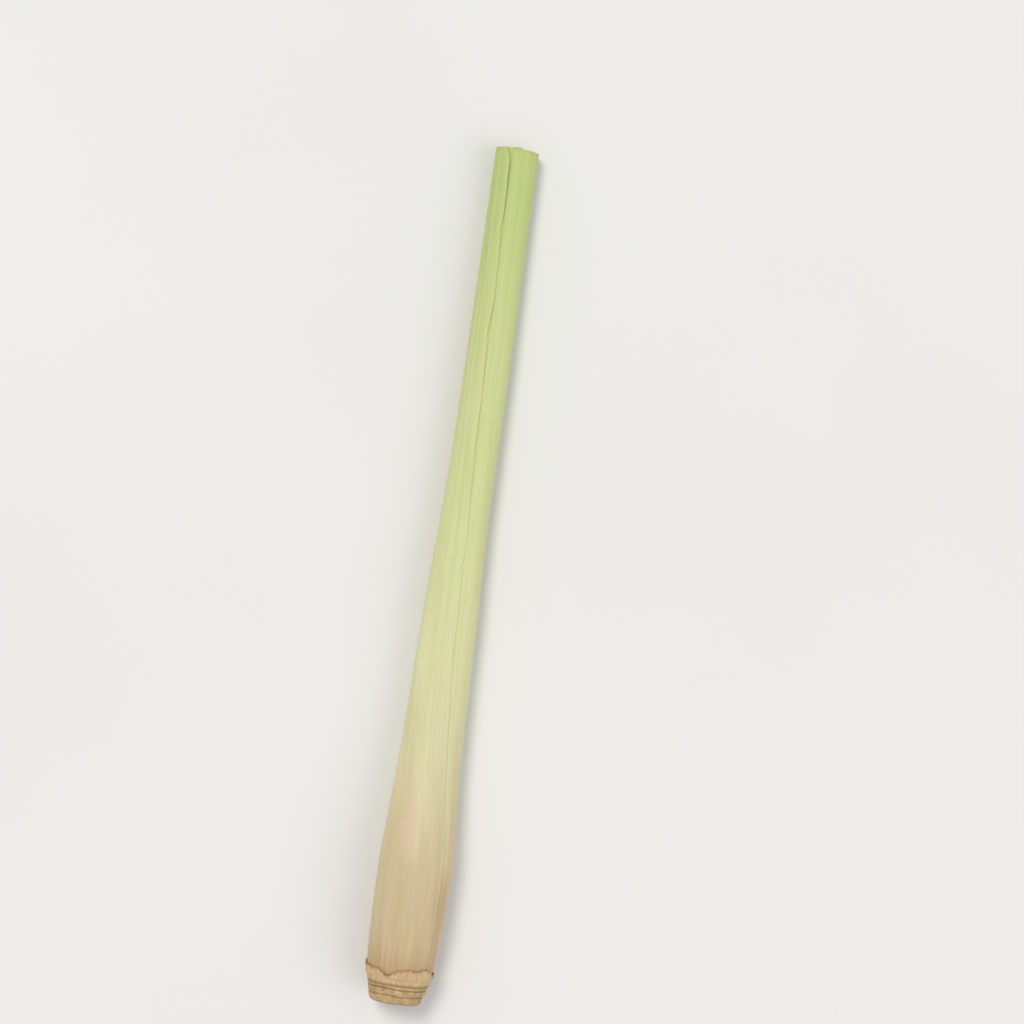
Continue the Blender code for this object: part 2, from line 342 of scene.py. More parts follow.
class Net:
    """A material's node tree, built up by short calls."""

    def __init__(self, name):
        self.material = bpy.data.materials.new(name)
        self.material.use_nodes = True
        self.tree = self.material.node_tree
        self.shader = self.tree.nodes["Principled BSDF"]

    def put(self, socket, value):
        if isinstance(value, bpy.types.NodeSocket):
            self.tree.links.new(value, socket)
        elif value is not None:
            socket.default_value = value

    def attr(self, name):
        node = self.tree.nodes.new("ShaderNodeAttribute")
        node.attribute_name = name
        return node.outputs["Fac"]

    def math(self, kind, a, b=None, c=None, clamp=False):
        node = self.tree.nodes.new("ShaderNodeMath")
        node.operation, node.use_clamp = kind, clamp
        for socket, value in zip(node.inputs, (a, b, c)):
            self.put(socket, value)
        return node.outputs[0]

    def add(self, a, b):
        return self.math("ADD", a, b)

    def times(self, a, b):
        return self.math("MULTIPLY", a, b)

    def fit(self, value, a, b, c=0.0, d=1.0):
        """value from a to b eased to c to d."""
        node = self.tree.nodes.new("ShaderNodeMapRange")
        node.interpolation_type = "SMOOTHSTEP"
        self.put(node.inputs["Value"], value)
        for key, x in (("From Min", a), ("From Max", b), ("To Min", c), ("To Max", d)):
            node.inputs[key].default_value = x
        return node.outputs["Result"]

    def vector(self, x, y, z=0.0):
        node = self.tree.nodes.new("ShaderNodeCombineXYZ")
        for socket, value in zip(node.inputs, (x, y, z)):
            self.put(socket, value)
        return node.outputs[0]

    def noise(self, vector, scale=1.0, detail=2.0, rough=0.5, warp=0.0):
        node = self.tree.nodes.new("ShaderNodeTexNoise")
        self.put(node.inputs["Vector"], vector)
        node.inputs["Scale"].default_value = scale
        node.inputs["Detail"].default_value = detail
        node.inputs["Roughness"].default_value = rough
        node.inputs["Distortion"].default_value = warp
        return node.outputs["Fac"]

    def cells(self, vector, scale=1.0, jitter=1.0, colour=False):
        node = self.tree.nodes.new("ShaderNodeTexVoronoi")
        self.put(node.inputs["Vector"], vector)
        node.inputs["Scale"].default_value = scale
        node.inputs["Randomness"].default_value = jitter
        if colour:
            split = self.tree.nodes.new("ShaderNodeSeparateColor")
            self.tree.links.new(node.outputs["Color"], split.inputs[0])
            return node.outputs["Distance"], split.outputs[0]
        return node.outputs["Distance"]

    def ramp(self, value, stops):
        node = self.tree.nodes.new("ShaderNodeValToRGB")
        self.put(node.inputs[0], value)
        line = node.color_ramp
        while len(line.elements) < len(stops):
            line.elements.new(0.5)
        for element, (at, colour) in zip(line.elements, stops):
            element.position, element.color = at, colour
        return node.outputs[0]

    def mix(self, share, a, b, kind="MIX"):
        node = self.tree.nodes.new("ShaderNodeMix")
        node.data_type, node.blend_type = "RGBA", kind
        node.clamp_factor = True
        self.put(node.inputs[0], share)
        self.put(node.inputs[6], a)
        self.put(node.inputs[7], b)
        return node.outputs[2]

    def shade(self, colour, value):
        """A colour made lighter or darker by a value near 1."""
        grey = self.tree.nodes.new("ShaderNodeCombineColor")
        for socket in grey.inputs:
            self.put(socket, value)
        return self.mix(1.0, colour, grey.outputs[0], "MULTIPLY")

    def bump(self, height, distance, strength=1.0, normal=None):
        node = self.tree.nodes.new("ShaderNodeBump")
        node.inputs["Strength"].default_value = strength
        node.inputs["Distance"].default_value = distance
        self.put(node.inputs["Height"], height)
        if normal is not None:
            self.put(node.inputs["Normal"], normal)
        return node.outputs[0]

    def done(self, colour, roughness, normal=None, coat=0.0, flesh=0.0):
        self.put(self.shader.inputs["Base Color"], colour)
        self.put(self.shader.inputs["Roughness"], roughness)
        self.shader.inputs["Metallic"].default_value = 0.0
        self.shader.inputs["IOR"].default_value = 1.43
        if normal is not None:
            self.put(self.shader.inputs["Normal"], normal)
        if coat:
            self.shader.inputs["Coat Weight"].default_value = coat
            self.shader.inputs["Coat Roughness"].default_value = 0.32
        if flesh:
            self.shader.inputs["Subsurface Weight"].default_value = flesh
            self.shader.inputs["Subsurface Radius"].default_value = (1.0, 0.8, 0.35)
            self.shader.inputs["Subsurface Scale"].default_value = 0.0009
        return self.material


def skin_material(name, green, marks=()):
    """The outside of a sheath. green is how much greener than cream its top is, and
    marks are soft patches: vein, height, half width in veins, half length, share, tone."""
    n = Net(name)
    s, v, e, rib = n.attr("along"), n.attr("around"), n.attr("edge"), n.attr("rib")
    # tone along the stalk, with soft tongues of colour running up and down the fibres
    tongues = n.noise(n.vector(n.times(v, 0.16), n.times(s, 0.006)), 1.0, 3.0, 0.6)
    place_s = n.add(s, n.fit(tongues, 0.2, 0.8, -13.0, 13.0))
    tone = n.ramp(
        n.math("DIVIDE", place_s, 165.0),
        [
            (0.00, srgb(198, 170, 128)), (0.14, srgb(208, 190, 147)),
            (0.28, srgb(221, 213, 167)), (0.38, srgb(222, 220, 168)),
            (0.60, srgb(216, 221, 157)), (1.00, srgb(190, 206, 123)),
        ],
    )  # fmt: skip
    upper = n.fit(s, 40.0, 100.0)
    # the side that goes on under the free margin kept more of its green
    covered = n.times(n.fit(e, 21.5, 26.0, 0.0, 0.40 * green), n.fit(s, 80.0, 112.0))
    tone = n.mix(covered, tone, srgb(178, 206, 124))
    # broad bands where the green of the leaf below shows through
    bands = n.noise(n.vector(n.times(v, 0.36), n.times(s, 0.010), 3.7), 1.0, 2.0, 0.55)
    tone = n.mix(
        n.times(n.fit(bands, 0.48, 0.72, 0.0, 0.42 * green), upper), tone, srgb(180, 203, 116)
    )
    pale = n.noise(n.vector(n.times(v, 0.6), n.times(s, 0.013), 9.1), 1.0, 2.0, 0.5)
    tone = n.mix(n.fit(pale, 0.54, 0.74, 0.0, 0.40), tone, srgb(233, 228, 190))
    # the blush at the root end
    blush = n.noise(n.vector(n.times(v, 0.22), n.times(s, 0.020), 17.0), 1.0, 3.0, 0.6)
    low = n.math("SUBTRACT", 1.0, n.fit(s, 20.0, 56.0))
    tone = n.mix(n.times(n.fit(blush, 0.44, 0.68, 0.0, 0.50), low), tone, srgb(222, 191, 163))
    amber = n.noise(n.vector(n.times(v, 0.45), n.times(s, 0.020), 23.0), 1.0, 2.0, 0.5)
    tone = n.mix(n.times(n.fit(amber, 0.56, 0.74, 0.0, 0.45), low), tone, srgb(219, 193, 134))
    fine = n.noise(n.vector(n.times(v, 1.25), n.times(s, 0.045), 5.0), 1.0, 3.0, 0.65)

    def patch(v0, s0, wide, long, most, colour):
        """A soft stretch of another tone, drawn out along the fibres."""
        a = n.math("DIVIDE", n.math("SUBTRACT", v, v0), wide)
        b = n.math("DIVIDE", n.math("SUBTRACT", s, s0), long)
        far = n.math("SQRT", n.add(n.times(a, a), n.times(b, b)))
        far = n.add(far, n.fit(fine, 0.2, 0.8, -0.3, 0.3))
        return n.mix(n.fit(far, 1.15, 0.2, 0.0, most), tone, colour)

    for mark in marks:
        tone = patch(*mark)
    # single fibres, lighter and darker, fine parallel veins, and the grooves between
    finer = n.noise(n.vector(n.times(v, 4.2), n.times(s, 0.16), 2.0), 1.0, 2.0, 0.5)
    tone = n.shade(tone, n.fit(fine, 0.25, 0.75, 0.945, 1.035))
    tone = n.shade(tone, n.fit(finer, 0.25, 0.75, 0.972, 1.022))
    hair = n.math("SINE", n.add(n.times(v, 18.8496), n.fit(fine, 0.0, 1.0, -2.0, 2.0)))
    tone = n.shade(tone, n.fit(hair, -1.0, 1.0, 0.982, 1.010))
    tone = n.mix(n.fit(rib, 0.0, -0.5, 0.0, 0.20), tone, srgb(186, 184, 112))
    # specks, long and thin like the fibres they sit on
    near, chance = n.cells(n.vector(n.times(v, 0.42), n.times(s, 0.17), 0.0), 1.0, 1.0, True)
    speck = n.times(n.fit(near, 0.15, 0.05), n.fit(chance, 0.86, 0.90))
    tone = n.mix(n.times(speck, 0.42), tone, srgb(160, 124, 72))
    scuff = n.noise(n.vector(n.times(v, 0.9), n.times(s, 0.35), 31.0), 1.0, 4.0, 0.7)
    tone = n.mix(n.fit(scuff, 0.66, 0.82, 0.0, 0.35), tone, srgb(198, 176, 122))
    # the thin free margin: bleached, here and there dried
    wavy = n.add(e, n.fit(fine, 0.2, 0.8, -0.25, 0.25))
    tone = n.mix(n.fit(wavy, 1.0, 0.1, 0.0, 0.24), tone, srgb(229, 223, 174))
    dead = n.noise(n.vector(0.0, n.times(s, 0.085), 41.0), 1.0, 3.0, 0.6)
    tone = n.mix(
        n.times(n.fit(wavy, 0.34, 0.04), n.fit(dead, 0.48, 0.68, 0.0, 0.62)), tone,
        srgb(190, 158, 106),
    )  # fmt: skip
    # stained where it grew out of the crown, dried just at the upper cut
    foot = n.fit(n.add(s, n.fit(fine, 0.2, 0.8, -2.6, 2.6)), 13.0, 5.5)
    tone = n.mix(n.times(foot, 0.55), tone, srgb(186, 146, 100))
    tip = n.fit(n.add(s, n.fit(fine, 0.2, 0.8, -0.5, 0.5)), 164.3, 165.1)
    tone = n.mix(n.times(tip, 0.42), tone, srgb(190, 172, 112))
    rough = n.fit(fine, 0.2, 0.8, 0.36, 0.50)
    grain = n.noise(n.vector(n.times(v, 7.0), n.times(s, 0.5), 8.0), 1.0, 3.0, 0.6)
    cross = n.noise(n.vector(n.times(v, 1.6), n.times(s, 2.4), 6.0), 1.0, 2.0, 0.5)
    normal = n.bump(n.add(grain, n.times(hair, 0.16)), 0.000055, 0.6)
    normal = n.bump(cross, 0.00005, 0.18, normal)
    return n.done(tone, rough, normal, coat=0.14, flesh=0.12)


def lining_material(name):
    """The inside of a sheath: smooth, pale and moist."""
    n = Net(name)
    s, v = n.attr("along"), n.attr("around")
    tone = n.ramp(
        n.math("DIVIDE", s, 165.0),
        [(0.0, srgb(233, 220, 186)), (0.5, srgb(234, 232, 190)), (1.0, srgb(214, 222, 158))],
    )
    fine = n.noise(n.vector(n.times(v, 1.6), n.times(s, 0.05), 5.0), 1.0, 3.0, 0.6)
    tone = n.shade(tone, n.fit(fine, 0.25, 0.75, 0.90, 1.04))
    normal = n.bump(fine, 0.00004, 0.4)
    return n.done(tone, n.fit(fine, 0.2, 0.8, 0.30, 0.42), normal, flesh=0.10)


def cut_material(name, skin, flesh, dots):
    """A cut face: pale flesh between a green skin and a lighter lining, with the cut
    ends of the veins as a row of dots near the outside."""
    n = Net(name)
    v, depth, s = n.attr("around"), n.attr("depth"), n.attr("along")
    tone = n.ramp(depth, [(0.0, skin), (0.16, skin), (0.34, flesh), (0.9, flesh), (1.0, skin)])
    # one bundle below each vein
    across = n.math("PINGPONG", n.add(v, 0.5), 0.5)
    gap_u = n.math("SUBTRACT", 0.5, across)
    gap_v = n.times(n.math("SUBTRACT", depth, 0.33), 0.9)
    near = n.math("SQRT", n.add(n.times(gap_u, gap_u), n.times(gap_v, gap_v)))
    tone = n.mix(n.fit(near, 0.30, 0.12, 0.0, 0.75), tone, dots)
    pores = n.cells(n.vector(n.times(v, 1.7), n.times(depth, 2.6), s), 1.0, 0.9)
    tone = n.shade(tone, n.fit(pores, 0.05, 0.45, 0.80, 1.03))
    worn = n.noise(n.vector(n.times(v, 0.28), n.times(depth, 1.0), 3.0), 1.0, 3.0, 0.6)
    tone = n.mix(n.fit(worn, 0.50, 0.72, 0.0, 0.55), tone, srgb(202, 176, 120))
    tone = n.mix(n.fit(depth, 0.10, 0.0, 0.0, 0.5), tone, srgb(168, 140, 84))
    fuzz = n.noise(n.vector(n.times(v, 3.4), n.times(depth, 4.0), 1.0), 1.0, 3.0, 0.6)
    normal = n.bump(n.add(pores, n.times(fuzz, 0.6)), 0.00009, 0.6)
    return n.done(tone, n.fit(fuzz, 0.2, 0.8, 0.48, 0.66), normal, flesh=0.10)


def wood_material(name):
    """The crown's rind: tan, ringed by scars, streaked and stained."""
    n = Net(name)
    s, x, z, dent = n.attr("along"), n.attr("across"), n.attr("up"), n.attr("rib")

    def grown(around, along_it, detail, rough):
        at = n.vector(n.times(x, around), n.times(z, around), n.times(s, along_it))
        return n.noise(at, 1.0, detail, rough)

    patch = grown(0.62, 0.55, 4.0, 0.65)
    tone = n.ramp(
        patch,
        [(0.25, srgb(168, 126, 82)), (0.45, srgb(196, 160, 113)), (0.62, srgb(212, 182, 136)),
         (0.80, srgb(222, 199, 158))],
    )  # fmt: skip
    fibres = grown(3.6, 0.7, 3.0, 0.6)
    tone = n.shade(tone, n.fit(fibres, 0.25, 0.75, 0.84, 1.08))
    tone = n.mix(n.fit(dent, -0.02, -0.16, 0.0, 0.62), tone, srgb(130, 92, 56))
    tone = n.mix(n.fit(dent, 0.10, 0.34, 0.0, 0.45), tone, srgb(156, 114, 72))
    tone = n.mix(n.fit(s, 0.4, 0.0, 0.0, 0.55), tone, srgb(140, 102, 64))
    bits = grown(2.0, 2.3, 4.0, 0.7)
    tone = n.shade(tone, n.fit(bits, 0.3, 0.7, 0.88, 1.06))
    normal = n.bump(fibres, 0.00016, 0.7)
    normal = n.bump(bits, 0.00018, 0.6, normal)
    return n.done(tone, n.fit(bits, 0.2, 0.8, 0.58, 0.78), normal)


def end_grain_material(name):
    """The crown's cut face: pale wood dotted with bundles, browned at the rim."""
    n = Net(name)
    x, z, out = n.attr("across"), n.attr("up"), n.attr("depth")
    at = n.vector(x, z, 0.0)
    wobble = n.noise(at, 0.55, 3.0, 0.6)
    share = n.add(out, n.fit(wobble, 0.2, 0.8, -0.07, 0.07))
    tone = n.ramp(
        share,
        [(0.00, srgb(226, 206, 160)), (0.34, srgb(222, 198, 150)), (0.58, srgb(212, 182, 132)),
         (0.80, srgb(196, 156, 108)), (0.93, srgb(158, 112, 70)), (1.00, srgb(116, 76, 44))],
    )  # fmt: skip
    near, chance = n.cells(at, 2.9, 0.95, True)
    dot = n.times(n.fit(near, 0.34, 0.10), n.fit(chance, 0.2, 0.9, 0.25, 0.85))
    tone = n.mix(dot, tone, srgb(158, 118, 72))
    flecks = n.noise(at, 6.5, 3.0, 0.7)
    tone = n.shade(tone, n.fit(flecks, 0.3, 0.7, 0.90, 1.06))
    # the knife's path
    knife = n.noise(n.vector(n.times(n.add(x, n.times(z, 0.25)), 0.35), n.times(z, 5.2), 2.0), 1.0, 3.0, 0.6)
    tone = n.shade(tone, n.fit(knife, 0.25, 0.75, 0.90, 1.05))
    stain = n.noise(at, 0.33, 4.0, 0.65)
    tone = n.mix(n.fit(stain, 0.52, 0.74, 0.0, 0.6), tone, srgb(178, 134, 86))
    normal = n.bump(dot, 0.00010, 0.5)
    normal = n.bump(knife, 0.00012, 0.5, normal)
    return n.done(tone, n.fit(stain, 0.2, 0.8, 0.52, 0.70), normal, flesh=0.05)


def dry_material(name):
    """Dead leaf base: papery, fibrous, tan with a brown torn rim."""
    n = Net(name)
    s, x, z, torn = n.attr("along"), n.attr("across"), n.attr("up"), n.attr("edge")
    fibres = n.noise(n.vector(n.times(x, 2.9), n.times(z, 2.9), n.times(s, 0.16)), 1.0, 4.0, 0.65)
    tone = n.ramp(
        fibres,
        [(0.25, srgb(182, 146, 100)), (0.45, srgb(206, 176, 130)), (0.62, srgb(218, 195, 150)),
         (0.80, srgb(229, 211, 172))],
    )  # fmt: skip
    hue = n.noise(n.vector(n.times(x, 0.36), n.times(z, 0.36), n.times(s, 0.4)), 1.0, 3.0, 0.6)
    tone = n.mix(n.fit(hue, 0.45, 0.68, 0.0, 0.45), tone, srgb(206, 160, 130))
    wavy = n.add(torn, n.fit(fibres, 0.2, 0.8, -0.35, 0.35))
    tone = n.mix(n.fit(wavy, 0.55, 0.0, 0.0, 0.66), tone, srgb(160, 119, 76))
    tone = n.mix(n.fit(s, 4.3, 3.6, 0.0, 0.65), tone, srgb(134, 94, 58))
    normal = n.bump(fibres, 0.00014, 0.7)
    return n.done(tone, n.fit(fibres, 0.2, 0.8, 0.60, 0.80), normal)


# --------------------------------------------------------------------------- the sheaths
def sheath(k, n, skip, heights, levels, materials):
    name, start, over, _, _, _ = SHEATHS[k]
    s = heights
    column, outer, inner, _ = sheath_radii(k, s, outsides(s, n, k))
    turn = -1 if k % 2 == 0 else 1
    steps = len(column) - 1
    lap = steps - n
    per = n / STEPS
    j = np.arange(steps + 1)[None, :]
    rows = s[:, None]

    # the free margin wanders, is torn a little here and there, and at the upper cut
    pull = 0.30 + 0.20 * field(0.3, rows, 3, 9.0, 60 + k) + 0.05 * field(0.6, rows, 3, 3.6, 70 + k)
    if k == 0:
        for at, reach, depth in TEARS:
            gap = smooth((rows - at + 0.5) / 0.5) * (1 - smooth((rows - at) / reach))
            pull = pull + depth * gap
        pull = pull + 0.9 * smooth((rows - 161.5) / 3.5) ** 2
    fall = smooth((j - (steps - 2.2 * per)) / (2.2 * per))
    at = j - pull * per * fall
    if k == 0:
        outer = np.stack([np.interp(a, np.arange(steps + 1), r) for a, r in zip(at, outer)])
        inner = np.stack([np.interp(a, np.arange(steps + 1), r) for a, r in zip(at, inner)])
    else:
        at = np.broadcast_to(j * 1.0, outer.shape).copy()

    # towards the top the outermost free margin stands a little proud, and it lifts in
    # shallow waves lower down
    lift = 0.0
    if k == 0:
        ease = smooth((at - n + per) / (6.0 * per))
        lift = 0.34 * smooth((rows - 142.0) / 23.0) * ease
        ripple = np.maximum(0, field(0.2, rows, 3, 11.0, 81)) + 0.35 * field(0.7, rows, 3, 3.4, 82)
        lift = lift + 0.085 * np.maximum(0, ripple) * smooth((at - n - 1.5 * per) / (3.0 * per)) * smooth((rows - 14) / 12)

    # veins: rounded ribs, some stronger than others, that thin out up the stalk
    phase = (steps - at) / n * VEINS
    phase = phase + 0.22 * field(at / n / 2, rows, 24, 17.0, 90 + k)
    whole = np.floor(phase + 0.5)
    strong = np.random.default_rng(100 + k).uniform(0.35, 1.0, 200)
    strong[::5] += 0.55
    power = strong[np.clip(whole.astype(int), 0, 199)]
    wave = np.cos(2 * math.pi * phase)
    rib = np.sign(wave) * np.abs(wave) ** 0.8 * 0.5
    seen = smooth((at - 0.6 * lap) / (0.4 * lap)) if k == 0 else 1.0
    depth = (0.064 - 0.014 * smooth((rows - 20) / 100)) * power
    depth = depth * (0.75 + 0.25 * field(at / n / 2, rows, 30, 8.0, 95 + k)) * seen
    thin = smooth((steps - at) / (1.2 * per))
    ribs = depth * rib * (0.35 + 0.65 * thin) * (1.0 if k == 0 else 0.45)
    outer = outer + lift + ribs - 0.02
    inner = inner + lift
    if k:  # full and fleshy: the leaves fill the room that they have
        body = smooth(at / (4.0 * per)) * smooth((steps - at) / (4.0 * per))
        outer = outer + 0.022 * body
        inner = inner - 0.008 * body

    # the fleshy foot of each sheath draws in to its ring on the crown
    tuck = 0.16 * (1 - smooth((rows - start) / 0.9)) ** 2
    outer = outer - tuck
    angle = twist(rows) + 2 * math.pi * (column[None, :] + turn * (at - j)) / n

    # the knife's cut: a little aslant, and never quite even
    last = smooth((rows - (LENGTH - 4.0)) / 4.0)
    lean = 0.10 * np.sin(angle - 1.0) + 0.05 * field(at / n / 2, 40.0, 26, 9.0, 97 + k)
    lean = lean + 0.03 * field(at / n / 2, 40.0, 90, 9.0, 98 + k)
    out = (over + lean - 0.08) * last
    top = place(angle, rows, outer, out)
    few = slice(0, None, skip)
    low = place(angle[:, few], rows, inner[:, few], out[:, few])

    # both ends
    rng = field(np.arange(steps + 1) / n / 2, 10.0, 120, 9.0, 130 + k)
    rise = lambda share, c: 0.05 * math.sin(math.pi * share) * (0.4 + rng)  # noqa: E731
    caps = [
        end_cap(top[0], low[0], skip, [], None),
        end_cap(top[-1], low[-1], skip, levels, rise),
    ]

    arc = (steps - j) / n * 2 * math.pi * outer
    edge = np.clip(arc, 0, 30)
    grid = np.ones_like(outer)
    values = {"along": [grid * rows], "around": [phase], "edge": [edge],
              "rib": [rib * power * seen * grid], "depth": [0 * grid]}  # fmt: skip
    small = np.ones_like(inner[:, few])
    values["along"].append(small * rows)
    values["around"].append(phase[:, few])
    values["edge"].append(edge[:, few])
    values["rib"].append(0 * small)
    values["depth"].append(small)
    for share in levels:
        one = np.ones(steps + 1)
        values["along"].append(one * s[-1])
        values["around"].append(phase[-1])
        values["edge"].append(edge[-1])
        values["rib"].append(0 * one)
        values["depth"].append(one * share)
    values = {key: np.concatenate([np.ravel(x) for x in v]) for key, v in values.items()}
    return band(name + "_skin", top, low, skip, caps, materials, values, name, turn > 0)


# ---------------------------------------------------------------------------- the crown
def crown(n, materials):
    """The woody root end down to its cut face, and the hidden cone of rings."""
    turns = np.arange(n)[None, :] / n
    # (height, how far inside the outline) of the visible stretch
    visible = spots((0.0, 0.4, 0.08), (0.4, FOOT_BOTTOM - 0.02, 0.10))
    rows = visible[:, None]
    shape = [(0.0, 0.26), (0.12, 0.10), (0.3, 0.02), (1.15, 0.03), (1.38, 0.10), (1.52, 0.20),
             (1.66, 0.10), (1.85, 0.0), (2.5, 0.05), (2.72, 0.12), (2.86, 0.24), (3.0, 0.12),
             (3.2, 0.04), (3.6, 0.03)]  # fmt: skip
    ripple = 0.16 * field(turns, 20.0, 9, 9.0, 201) + 0.07 * field(turns, 60.0, 31, 9.0, 202)
    less = along(shape, rows + ripple * smooth((rows - 0.5) / 0.6))
    r = outline(visible, n) - less
    # fibres and shreds of the leaf bases, and low lumps
    shreds = field(turns, rows, 170, 1.1, 203) * 0.05 + field(turns, rows, 60, 0.9, 204) * 0.06
    r = r + shreds * smooth(rows / 0.4) + 0.08 * field(turns, rows, 11, 1.9, 205)
    knob = np.zeros_like(r)
    for at, s0, wide, high in [(0.04, 2.20, 0.62, 0.50), (0.19, 0.85, 0.50, 0.36),
                               (0.31, 2.15, 0.70, 0.58), (0.47, 0.90, 0.46, 0.34),
                               (0.56, 2.25, 0.55, 0.40), (0.68, 2.05, 0.72, 0.52),
                               (0.83, 0.80, 0.52, 0.42), (0.93, 2.20, 0.48, 0.34)]:  # fmt: skip
        gap = ((turns - at + 0.5) % 1.0 - 0.5) * 2 * math.pi * 5.4
        away = np.hypot(gap, (rows - s0)) / wide
        bump = 1 - smooth(away)
        # a root stub: a blunt cone with a dimple where it was rubbed off
        knob = knob + high * (bump**0.8) - 0.35 * high * np.exp(-((away / 0.28) ** 2))
    r = r + knob
    dent = -less + 0.04 + knob * 0.75
    lines = [(r, rows, dent)]

    # hidden: the seat of the stripped sheath, then one step for each sheath
    def hidden(s, radii):
        lines.append((radii, np.full((1, 1), s), np.zeros_like(radii)))

    seat = FOOT_THICK + GAP + 0.06
    base = lambda s: outline(np.array([s]), n)  # noqa: E731
    hidden(FOOT_BOTTOM + 0.05, base(FOOT_BOTTOM) - seat)
    hidden(SHEATHS[0][1] - 0.12, base(SHEATHS[0][1]) - seat)
    starts = [entry[1] for entry in SHEATHS]
    for k, start in enumerate(starts):
        end = starts[k + 1] if k + 1 < len(starts) else CROWN_TIP - 1.2
        for s in np.linspace(start - 0.05, end - 0.12, 4):
            hidden(s, outsides(np.array([s]), n, k + 1) - 0.04)
    tip = outsides(np.array([CROWN_TIP]), n, len(starts))
    for s, share in [(CROWN_TIP - 0.7, 0.90), (CROWN_TIP - 0.3, 0.70), (CROWN_TIP - 0.08, 0.45)]:
        hidden(s, tip * share)

    points, values = [], {"along": [], "around": [], "rib": [], "depth": [], "across": [], "up": []}

    def add(p, s, dent_here, depth):
        one = np.ones(p.shape[:-1])
        points.append(p.reshape(-1, 3))
        centre = along(HALF_WIDTH, 14.0) * along(HEIGHT_SHARE, 14.0) - CONTACT
        for key, x in (("along", one * s), ("around", one * turns * 60), ("rib", one * dent_here),
                       ("depth", one * depth), ("across", p[..., 0]), ("up", p[..., 2] - centre)):
            values[key].append(np.ravel(x))

    # the cut face, from its middle out: pressed a little out of true by the knife
    faces, slots = [], []
    centre_point = place(np.zeros((1, 1)), np.zeros((1, 1)), np.zeros((1, 1)))
    rings = 26
    flat = []
    for i in range(1, rings):
        share = i / rings
        rr = r[:1] * share
        flat.append(place(twist(rows[:1]) + 2 * math.pi * turns, rows[:1], rr))
    rough = lambda p: (  # noqa: E731
        0.05 * np.sin(p[..., 0] * 1.9 + 0.7 * p[..., 2])
        + 0.035 * np.sin(p[..., 0] * 5.1 - 2.2 * p[..., 2] + 1.0)
        + 0.10 * smooth((p[..., 0] - 1.4 - 0.3 * np.sin(p[..., 2])) / 0.25)
    )
    centre_point[..., 1] += 0.02 + rough(centre_point)
    points.append(centre_point.reshape(-1, 3))
    for key, x in (("along", 0), ("around", 0), ("rib", 0), ("depth", 0),
                   ("across", centre_point[0, 0, 0]), ("up", 0)):  # fmt: skip
        values[key].append(np.array([x], float))
    for i, p in enumerate(flat, 1):
        share = i / rings
        p[..., 1] += 0.02 + rough(p) * (1 - smooth((share - 0.85) / 0.15))
        add(p, 0.0, 0.0, share)
    for radii, s, d in lines:
        p = place(twist(s) + 2 * math.pi * turns, s, radii)
        add(p, np.broadcast_to(s, radii.shape), d, 1.0)
    total = 1 + (rings - 1) * n + sum(x[0].shape[0] for x in lines) * n
    last = np.array([[0.0, CROWN_TIP - LENGTH / 2, 0.0]])
    mid = place(np.zeros((1, 1)), np.full((1, 1), CROWN_TIP), np.zeros((1, 1)))[0]
    last[0, 0], last[0, 2] = mid[0, 0], mid[0, 2]
    points.append(last)
    for key in values:
        values[key].append(np.array([CROWN_TIP if key == "along" else 0.0]))
    nxt = np.roll(np.arange(n), -1)
    for i in range(n):
        faces.append([0, 1 + i, 1 + int(nxt[i])])
        slots.append(1)
    rows_total = (total - 1) // n
    for row in range(rows_total - 1):
        a = 1 + row * n + np.arange(n)
        b = 1 + row * n + nxt
        quad = np.stack([a, a + n, b + n, b], -1)
        faces.extend(quad.tolist())
        slots.extend([1 if row < rings - 1 else 0] * n)
    a = 1 + (rows_total - 1) * n
    for i in range(n):
        faces.append([a + i, total, a + int(nxt[i])])
        slots.append(0)
    values = {key: np.concatenate(v) for key, v in values.items()}
    return make("root_crown_skin", np.concatenate(points), faces, slots, materials, values,
                "root_crown")  # fmt: skip


